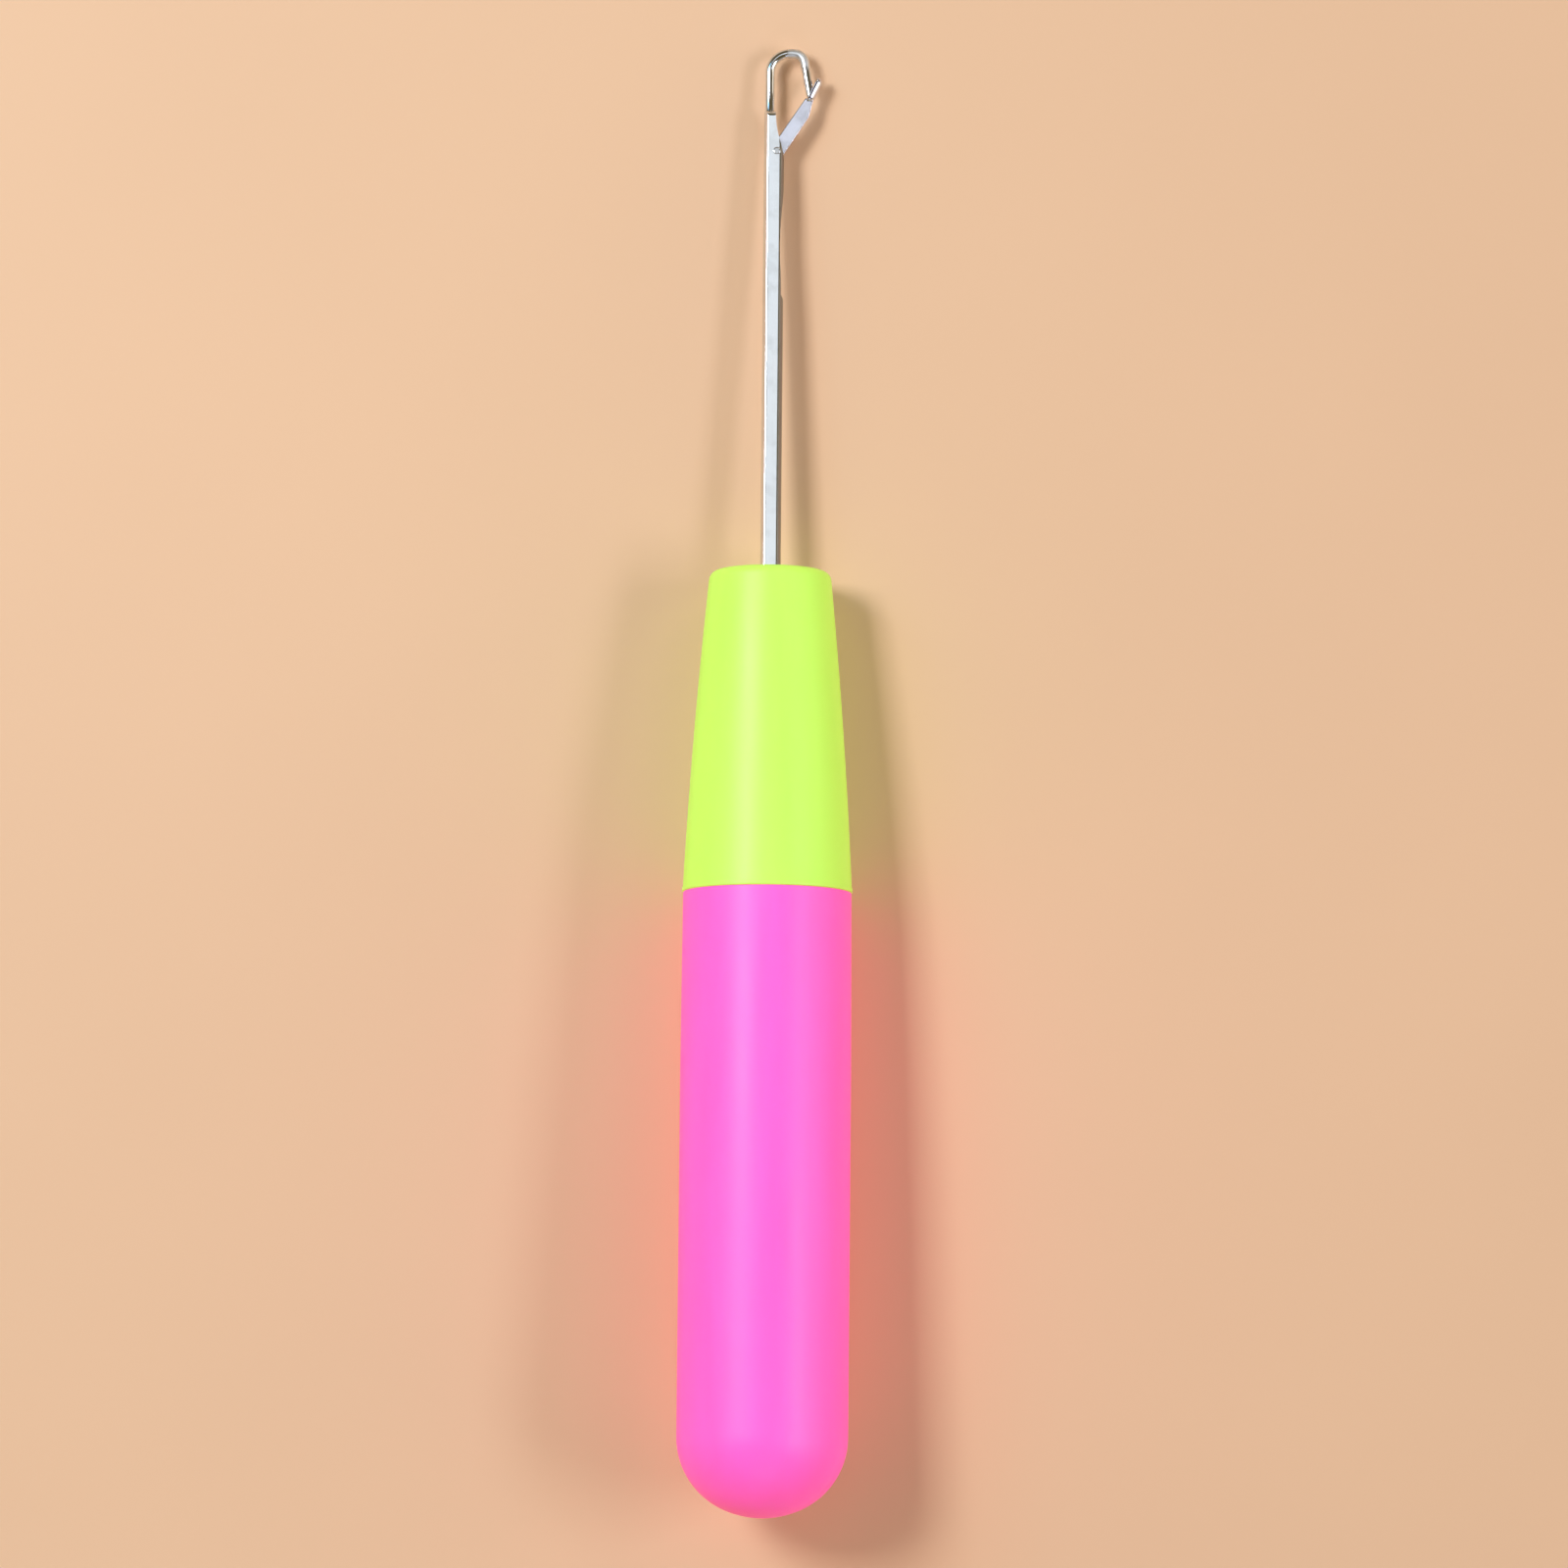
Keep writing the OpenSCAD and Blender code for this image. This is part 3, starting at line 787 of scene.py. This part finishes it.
def hook_shape(n, start_y):
    """The hook's wire, drawn out face by face: shank, wide bend, crown, tight bend and tapered point."""
    shape = bmesh.new()
    middle = hook_middle(n)
    bmesh.ops.create_circle(shape, cap_ends=True, segments=48, radius=n.wire_radius)
    rolled(shape, math.radians(-90), "X")
    shifted(shape, middle.shank_x, start_y)
    shape.faces.ensure_lookup_table()
    end = shape.faces[0]

    def pushed(face, x, y, scale=1.0):
        """Draws the wire's end out by x and y."""
        raised = bmesh.ops.extrude_face_region(shape, geom=[face, *face.edges])["geom"]
        verts = of_kind(bmesh.types.BMVert, raised)
        face = of_kind(bmesh.types.BMFace, raised)[0]
        bmesh.ops.translate(shape, verts=verts, vec=(x, y, 0))
        about = Matrix.Translation(-face.calc_center_median())
        bmesh.ops.scale(shape, verts=verts, vec=(scale, scale, scale), space=about)
        return face

    def bent(face, centre, degrees, steps):
        """Draws the wire's end round a centre."""
        spun = bmesh.ops.spin(
            shape,
            geom=[face, *face.edges],
            cent=(*centre, 0),
            axis=(0, 0, 1),
            angle=math.radians(degrees),
            steps=steps,
            use_duplicate=False,
        )
        return of_kind(bmesh.types.BMFace, spun["geom_last"])[0]

    shank_steps, taper_steps, rings = 4, 6, 8
    for _ in range(shank_steps):
        end = pushed(end, 0, (middle.back.y - start_y) / shank_steps)
    end = bent(end, middle.back, -90, 28)
    end = pushed(end, n.crown, 0)
    end = bent(end, middle.front, n.beak_flare - 90, 22)
    radius = n.wire_radius
    for part in range(1, taper_steps + 1):
        thinner = n.wire_radius + (n.beak_radius - n.wire_radius) * part / taper_steps
        end = pushed(end, *(middle.way * n.beak / taper_steps), thinner / radius)
        radius = thinner
    # The round end, in rings that close on the point
    for ring in range(1, rings + 1):
        before, after = (math.radians(90 * i / (rings + 1)) for i in (ring - 1, ring))
        step = n.beak_radius * (math.sin(after) - math.sin(before))
        end = pushed(end, *(middle.way * step), math.cos(after) / math.cos(before))
    tip = bmesh.ops.poke(shape, faces=[end])["verts"][0]
    tip.co.xy += middle.way * n.beak_radius * (1 - math.sin(after))
    tidy(shape)
    return shape


class NEEDLE_OT_add(bpy.types.Operator):
    """Adds the steel needle: pressed stem, milled relief, slotted cheeks and the hook's wire"""

    bl_idname = "latch_hook.needle"
    bl_label = "Needle"

    def execute(self, context):
        g = drawn(context.scene.latch_hook_grip)
        n = drawn(context.scene.latch_hook_needle)
        s = drawn(context.scene.latch_hook_latch)
        front_y = g.joint + g.front
        rear_y, tip_y = front_y - n.tang - OVERRUN, PIVOT_Y + n.cheek
        piece = piece_from(tang_shape(n, front_y, tip_y - front_y + n.tang), "latch_needle")
        # Side view of the stem: relief, waist, shoulder and rounded cheek tips. It stands a hair off the
        # round back, which it leaves whole, and well off the mouth side behind the relief.
        hair, room = 0.01, 0.4
        back, clear = -n.stem_radius - hair, n.stem_radius + room
        pen = Pen(back, rear_y)
        pen.line(clear, rear_y)
        ramp = n.relief_ramp * (clear - n.stem_radius + n.relief) / n.relief
        pen.line(clear, PIVOT_Y - n.relief_back - ramp)
        pen.line(n.stem_radius - n.relief, PIVOT_Y - n.relief_back)
        pen.swerve(n.stem_radius - n.waist, PIVOT_Y - n.waist_back)
        pen.swerve(n.stem_radius, PIVOT_Y - n.shoulder_back)
        pen.swerve(n.cheek_tip - n.stem_radius, tip_y - n.cheek_round, 12)
        pen.arc(pen.tip.co.x - n.cheek_round, pen.tip.co.y, 90, 8)
        pen.line(back + n.cheek_round, tip_y)
        pen.arc(pen.tip.co.x, pen.tip.co.y - n.cheek_round, 90, 8)
        worked(piece, "INTERSECT", piece_from(thickened(pen, 4 * n.flat), "side_form"))
        # Seen from the mouth side the cheeks end in a half round
        pen = Pen(-n.cheek_end, rear_y)
        pen.line(n.cheek_end, rear_y)
        pen.line(n.cheek_end, tip_y - n.cheek_end)
        pen.arc(0, tip_y - n.cheek_end, 180, 36)
        shape = thickened(pen, 4 * n.stem_radius)
        rolled(shape, math.radians(90), "Y")
        worked(piece, "INTERSECT", piece_from(shape, "end_form"))
        worked(piece, "UNION", piece_from(ears_shape(n, front_y), "ears"))
        worked(piece, "UNION", piece_from(hook_shape(n, PIVOT_Y), "hook"))
        # Slot, as a disc leaves it when it is moved along
        middle_x = n.cutter - n.slot_floor
        shank_top = n.wire_inset + 2 * n.wire_radius - n.stem_radius
        front_cut = tip_y - n.slot_tip_gap - math.sqrt(n.cutter**2 - (middle_x - shank_top) ** 2)
        rear_cut = PIVOT_Y - n.slot_back
        open_x = 2 * n.stem_radius
        swing = math.degrees(math.acos((middle_x - open_x) / n.cutter))
        reach = math.sqrt(n.cutter**2 - (middle_x - open_x) ** 2)
        pen = Pen(open_x, rear_cut - reach)
        pen.arc(middle_x, rear_cut, -swing, 24)
        pen.line(-n.slot_floor, front_cut)
        pen.arc(middle_x, front_cut, -swing, 24)
        worked(piece, "DIFFERENCE", piece_from(thickened(pen, n.slot), "slot"))
        worked(piece, "DIFFERENCE", piece_from(pin(s.rivet, 4 * n.flat, PIVOT_X, PIVOT_Y), "rivet_hole"))
        worn = piece.modifiers.new("Worn edges", "BEVEL")
        worn.width, worn.segments = n.wear, 2
        worn.limit_method, worn.angle_limit = "ANGLE", math.radians(40)
        settle(piece)
        laid_down(piece)
        f = context.scene.latch_hook_finish
        middle = hook_middle(n)
        # Where the bends turn satin, and where the painted shade lies along the stem's mouth side
        places = SimpleNamespace(
            flat_edge=math.sqrt(n.stem_radius**2 - n.flat**2),
            milled_to=tip_y - n.cheek_round,
            stem_side=n.stem_radius,
            crown_start=middle.back.x,
            bend_from=middle.back.y,
            bend_full=middle.front.y,
        )
        steel = nickel_plate(
            "Nickel plated drawn steel",
            f.nickel,
            dull=0.93,
            rough_low=0.08,
            rough_high=0.12,
            along=0.04,
            needle=places,
        )
        finished(piece, steel, "tool", "needle")
        return {"FINISHED"}


def pin(radius, depth, x=0.0, y=0.0):
    """A round pin across the tool's flats."""
    shape = bmesh.new()
    place = Matrix.Translation((x, y, 0))
    bmesh.ops.create_cone(
        shape, cap_ends=True, segments=48, radius1=radius, radius2=radius, depth=depth, matrix=place
    )
    return shape


def capsule(radius, back, reach):
    """A round bar with round ends along Y."""
    pen = Pen(0, -back - radius)
    pen.arc(0, -back, 90, 16)
    for part in (1 / 3, 2 / 3, 1):
        pen.line(radius, -back + (reach + back) * part)
    pen.arc(0, reach, 90, 16)
    return turned(pen, 64)


class LATCH_OT_add(bpy.types.Operator):
    """Adds the hinged latch, stamped with a round heel and pressed to a spoon at its end"""

    bl_idname = "latch_hook.latch"
    bl_label = "Latch"

    def execute(self, context):
        n = drawn(context.scene.latch_hook_needle)
        s = drawn(context.scene.latch_hook_latch)
        # The hook's point, seen from the pivot, gives the angle at which the latch is closed
        middle = hook_middle(n)
        point = middle.leg + n.beak * middle.way - Vector((PIVOT_X, PIVOT_Y))
        seat_y = math.sqrt(point.length**2 - s.seat**2)
        closed = math.atan2(point.x, point.y) + math.asin(s.seat / point.length)
        outer = s.hollow + s.wall

        # The latch is drawn along Y, with the hook's side to the left
        def set_at_seat(shape):
            rolled(shape, math.radians(s.spoon_tilt), "Z")
            shifted(shape, -s.seat, seat_y)
            return shape

        pen = Pen(-s.heel, 0)
        pen.arc(0, 0, 180, 32)
        pen.line(s.heel, s.lower_edge)
        pen.line(-s.seat + outer - s.wall / 2, seat_y - s.back)
        pen.line(-s.seat, seat_y)
        pen.line(-s.seat - s.rim, seat_y - s.back)
        pen.line(-s.height, seat_y - outer)
        piece = piece_from(thickened(pen, s.blade), "hook_latch")
        spoon = capsule(outer, s.back, s.reach)
        cut = bmesh.ops.bisect_plane(
            spoon,
            geom=spoon.verts[:] + spoon.edges[:] + spoon.faces[:],
            plane_co=(-s.rim, 0, 0),
            plane_no=(-1, 0, 0),
            clear_outer=True,
        )["geom_cut"]
        bmesh.ops.contextual_create(spoon, geom=of_kind(bmesh.types.BMEdge, cut))
        tidy(spoon)
        worked(piece, "UNION", piece_from(set_at_seat(spoon), "spoon"))
        worked(piece, "DIFFERENCE", piece_from(set_at_seat(capsule(s.hollow, s.back, s.reach)), "hollow"))
        worked(piece, "DIFFERENCE", piece_from(pin(s.rivet + s.rivet_fit, 2 * s.blade), "hole"))
        soft = piece.modifiers.new("Tumbled", "REMESH")
        soft.mode, soft.voxel_size, soft.adaptivity = "VOXEL", s.grain, 0.0
        settle(piece)
        shape = bmesh.new()
        shape.from_mesh(piece.data)
        passes = 3
        for _ in range(passes):
            bmesh.ops.smooth_vert(
                shape, verts=shape.verts, factor=0.5, use_axis_x=True, use_axis_y=True, use_axis_z=True
            )
        rolled(shape, -closed, "Z")
        shifted(shape, PIVOT_X, PIVOT_Y)
        shape.to_mesh(piece.data)
        shape.free()
        laid_down(piece, smooth_under=80)
        f = context.scene.latch_hook_finish
        steel = nickel_plate(
            "Nickel plated stamped steel",
            f.latch_nickel,
            dull=0.91,
            rough_low=0.14,
            rough_high=0.2,
            along=0.12,
        )
        finished(piece, steel, "latch_arm", "latch")
        return {"FINISHED"}


class RIVET_OT_add(bpy.types.Operator):
    """Adds the rivet that the latch turns on, with low peened heads"""

    bl_idname = "latch_hook.rivet"
    bl_label = "Rivet"

    def execute(self, context):
        n = drawn(context.scene.latch_hook_needle)
        s = drawn(context.scene.latch_hook_latch)
        # Heads with a flat middle, rounded off to the flats by an arc
        brim = s.head - s.head_flat
        round_off = (brim**2 + s.head_rise**2) / (2 * s.head_rise)
        half = math.degrees(math.asin(brim / round_off))
        pen = Pen(0, -n.flat - s.head_rise)
        pen.line(s.head_flat, pen.tip.co.y)
        pen.arc(s.head_flat, pen.tip.co.y + round_off, half, 6)
        pen.line(s.rivet, -n.flat)
        pen.line(s.rivet, n.flat)
        pen.line(s.head, n.flat)
        pen.arc(s.head_flat, n.flat + s.head_rise - round_off, half, 6)
        pen.line(0, n.flat + s.head_rise)
        shape = turned(pen, 64)
        rolled(shape, math.radians(90), "X")
        shifted(shape, PIVOT_X, PIVOT_Y)
        piece = piece_from(shape, "pivot_rivet")
        laid_down(piece)
        f = context.scene.latch_hook_finish
        steel = nickel_plate(
            "Nickel plated peened rivet",
            f.nickel,
            dull=0.9,
            rough_low=0.14,
            rough_high=0.22,
            along=1.0,
        )
        finished(piece, steel, "tool", "latch_rivet")
        return {"FINISHED"}


BOARD_SIZE = 8.0

# Soft boxes that face the tool. From straight over the board each is tilted to the right and leant toward
# the hook, in degrees, and moved out by its distance. Width and length are in metres, a radiance of 1 is as
# bright as a white surface in full light, and the tint is in linear light.
LAMPS = {
    # Main light from the upper left: the highlight along the grip and the shadow on the right
    "key_softbox": (-29.5, 19, 0.85, (0.193, 0.263), 26.2, (0.93, 0.958, 1.0)),
    # Second light from the right, for the weaker shadow on the left, between the tent's warm, dim sides
    "left_panel": (-50, 10, 1.6, (0.7, 1.4), 0.6, (1.0, 0.88, 0.7)),
    "right_softbox": (45, -4, 1.6, (0.28, 0.7), 12.9, (0.77, 0.83, 1.0)),
    "right_panel": (68, -5, 1.5, (0.8, 1.0), 1.4, (1.0, 0.9, 0.74)),
    # What the needle's flats and the latch's blade mirror
    "overhead_strip": (0, 13, 1.2, (0.22, 0.5), 1.04, (0.827, 0.913, 1.0)),
    # Ends of the tent: the hook's bends and the nose mirror the one, the domed tail the other
    "far_panel": (22, 46, 1.3, (0.3, 0.25), 4.5, (1.0, 0.97, 0.9)),
    "near_panel": (5, -52, 1.3, (0.5, 0.4), 1.9, (0.7, 0.78, 1.0)),
    # A patch of blue that shows on the hook's wire
    "sky_panel": (-35, 30, 0.5, (0.2, 0.2), 3.25, (0.24, 0.64, 1.0)),
}

# Pale walls round the table and a dimmer, warmer ceiling, so that the plate has something bright to mirror
# from the side. The walls fade into the ceiling up to a height, as a share of the way to the zenith.
WALLS, CEILING = "#FFF0D8", "#FFDC9C"
CEILING_SHARE, WALL_HEIGHT, ROOM_LIGHT = 0.21, 0.52, 0.6

# Lens and sensor in millimetres, aim and distance in metres, and elevation on the tail's side and roll in
# degrees
CAMERA = SimpleNamespace(
    lens=180.0, sensor=36.0, aim=(0.00175, -0.0009), distance=0.8746, elevation=83.5, roll=0.527
)


class STAGE_OT_add(bpy.types.Operator):
    """Adds the plain board, the soft lights, the surroundings and the camera"""

    bl_idname = "latch_hook.stage"
    bl_label = "Board, Lights and Camera"

    # The tool rests on the side of its front grip, with its hook just over the board and its tail lifted
    board_rise: angle("Board rise", 4.6, "Slope of the board along the tool")
    board_drop: length("Board drop", 0.28, "Room between the board and the lip of the front grip")

    def execute(self, context):
        scene = context.scene
        g = drawn(scene.latch_hook_grip)
        slope = Matrix.Rotation(self.board_rise, 3, "X")
        shape = bmesh.new()
        bmesh.ops.create_grid(shape, x_segments=8, y_segments=8, size=BOARD_SIZE / 2)
        rolled(shape, self.board_rise, "X")
        lip_y = TAIL_Y + (g.joint + g.lip / 2) * MM
        lip_z = AXIS_Z - g.lip_radius * MM
        shifted(shape, 0, lip_y, lip_z - self.board_drop)
        board = piece_from(shape, "board")
        board.data.materials.append(painted_board(scene.latch_hook_finish.board))

        for name, (tilt, lean, distance, size, radiance, tint) in LAMPS.items():
            light = bpy.data.lights.new(name, "AREA")
            light.shape, light.size, light.size_y = "RECTANGLE", *size
            light.energy, light.color = radiance * math.pi * size[0] * size[1], tint
            holder = bpy.data.objects.new(name, light)
            leant = Matrix.Rotation(math.radians(-lean), 3, "X")
            turn = slope @ leant @ Matrix.Rotation(math.radians(tilt), 3, "Y")
            holder.matrix_world = Matrix.Translation(turn @ Vector((0, 0, distance))) @ turn.to_4x4()
            scene.collection.objects.link(holder)

        world = bpy.data.worlds.new("Soft room")
        world.use_nodes = True
        tree = world.node_tree
        tree.nodes.clear()
        way = add_node(tree, "ShaderNodeTexCoord").outputs["Generated"]
        height = add_node(tree, "ShaderNodeSeparateXYZ", links={"Vector": way}).outputs["Z"]
        walls, ceiling = linear(WALLS), dimmed(linear(CEILING), CEILING_SHARE)
        shades = two_tone(tree, height, 0.0, walls, WALL_HEIGHT, ceiling)
        room = add_node(
            tree, "ShaderNodeBackground", values={"Strength": ROOM_LIGHT}, links={"Color": shades}
        )
        add_node(tree, "ShaderNodeOutputWorld", links={"Surface": room.outputs["Background"]})
        scene.world = world

        camera = bpy.data.cameras.new("camera")
        camera.lens, camera.sensor_width = CAMERA.lens, CAMERA.sensor
        camera.clip_start, camera.clip_end = 0.05, 20.0
        holder = bpy.data.objects.new("camera", camera)
        scene.collection.objects.link(holder)
        elevation = math.radians(CAMERA.elevation)
        back = Vector((0, -math.cos(elevation), math.sin(elevation)))
        roll = Matrix.Rotation(math.radians(CAMERA.roll), 3, "Z")
        look = (-back).to_track_quat("-Z", "Y").to_matrix() @ roll
        aim = Vector((*CAMERA.aim, AXIS_Z))
        holder.matrix_world = Matrix.Translation(aim + back * CAMERA.distance) @ look.to_4x4()
        scene.camera = holder

        scene.view_settings.view_transform = "Standard"
        return {"FINISHED"}


class LATCHHOOK_PT_panel(bpy.types.Panel):
    """Lists the pieces of the latch hook tool"""

    bl_label = "Latch Hook Tool"
    bl_idname = "LATCHHOOK_PT_panel"
    bl_space_type = "VIEW_3D"
    bl_region_type = "UI"
    bl_category = "Latch Hook"

    def draw(self, context):
        column = self.layout.column()
        for operator in PIECES:
            column.operator(operator.bl_idname)
        for group in GROUPS:
            box = self.layout.box()
            settings = getattr(context.scene, group)
            for name in settings.__annotations__:
                box.prop(settings, name)


GROUPS = {
    "latch_hook_grip": GripSizes,
    "latch_hook_needle": NeedleSizes,
    "latch_hook_latch": LatchSizes,
    "latch_hook_finish": Finishes,
}
PIECES = (REARGRIP_OT_add, FRONTGRIP_OT_add, NEEDLE_OT_add, LATCH_OT_add, RIVET_OT_add, STAGE_OT_add)


def register():
    for made in (*GROUPS.values(), *PIECES, LATCHHOOK_PT_panel):
        bpy.utils.register_class(made)
    for name, group in GROUPS.items():
        setattr(bpy.types.Scene, name, bpy.props.PointerProperty(type=group))


def unregister():
    for name in GROUPS:
        delattr(bpy.types.Scene, name)
    for made in (LATCHHOOK_PT_panel, *reversed(PIECES), *reversed(list(GROUPS.values()))):
        bpy.utils.unregister_class(made)


def main():
    register()
    bpy.ops.latch_hook.rear_grip()
    bpy.ops.latch_hook.front_grip()
    bpy.ops.latch_hook.needle()
    bpy.ops.latch_hook.latch()
    bpy.ops.latch_hook.rivet()
    bpy.ops.latch_hook.stage()
    bpy.context.view_layer.update()


if __name__ == "__main__":
    main()
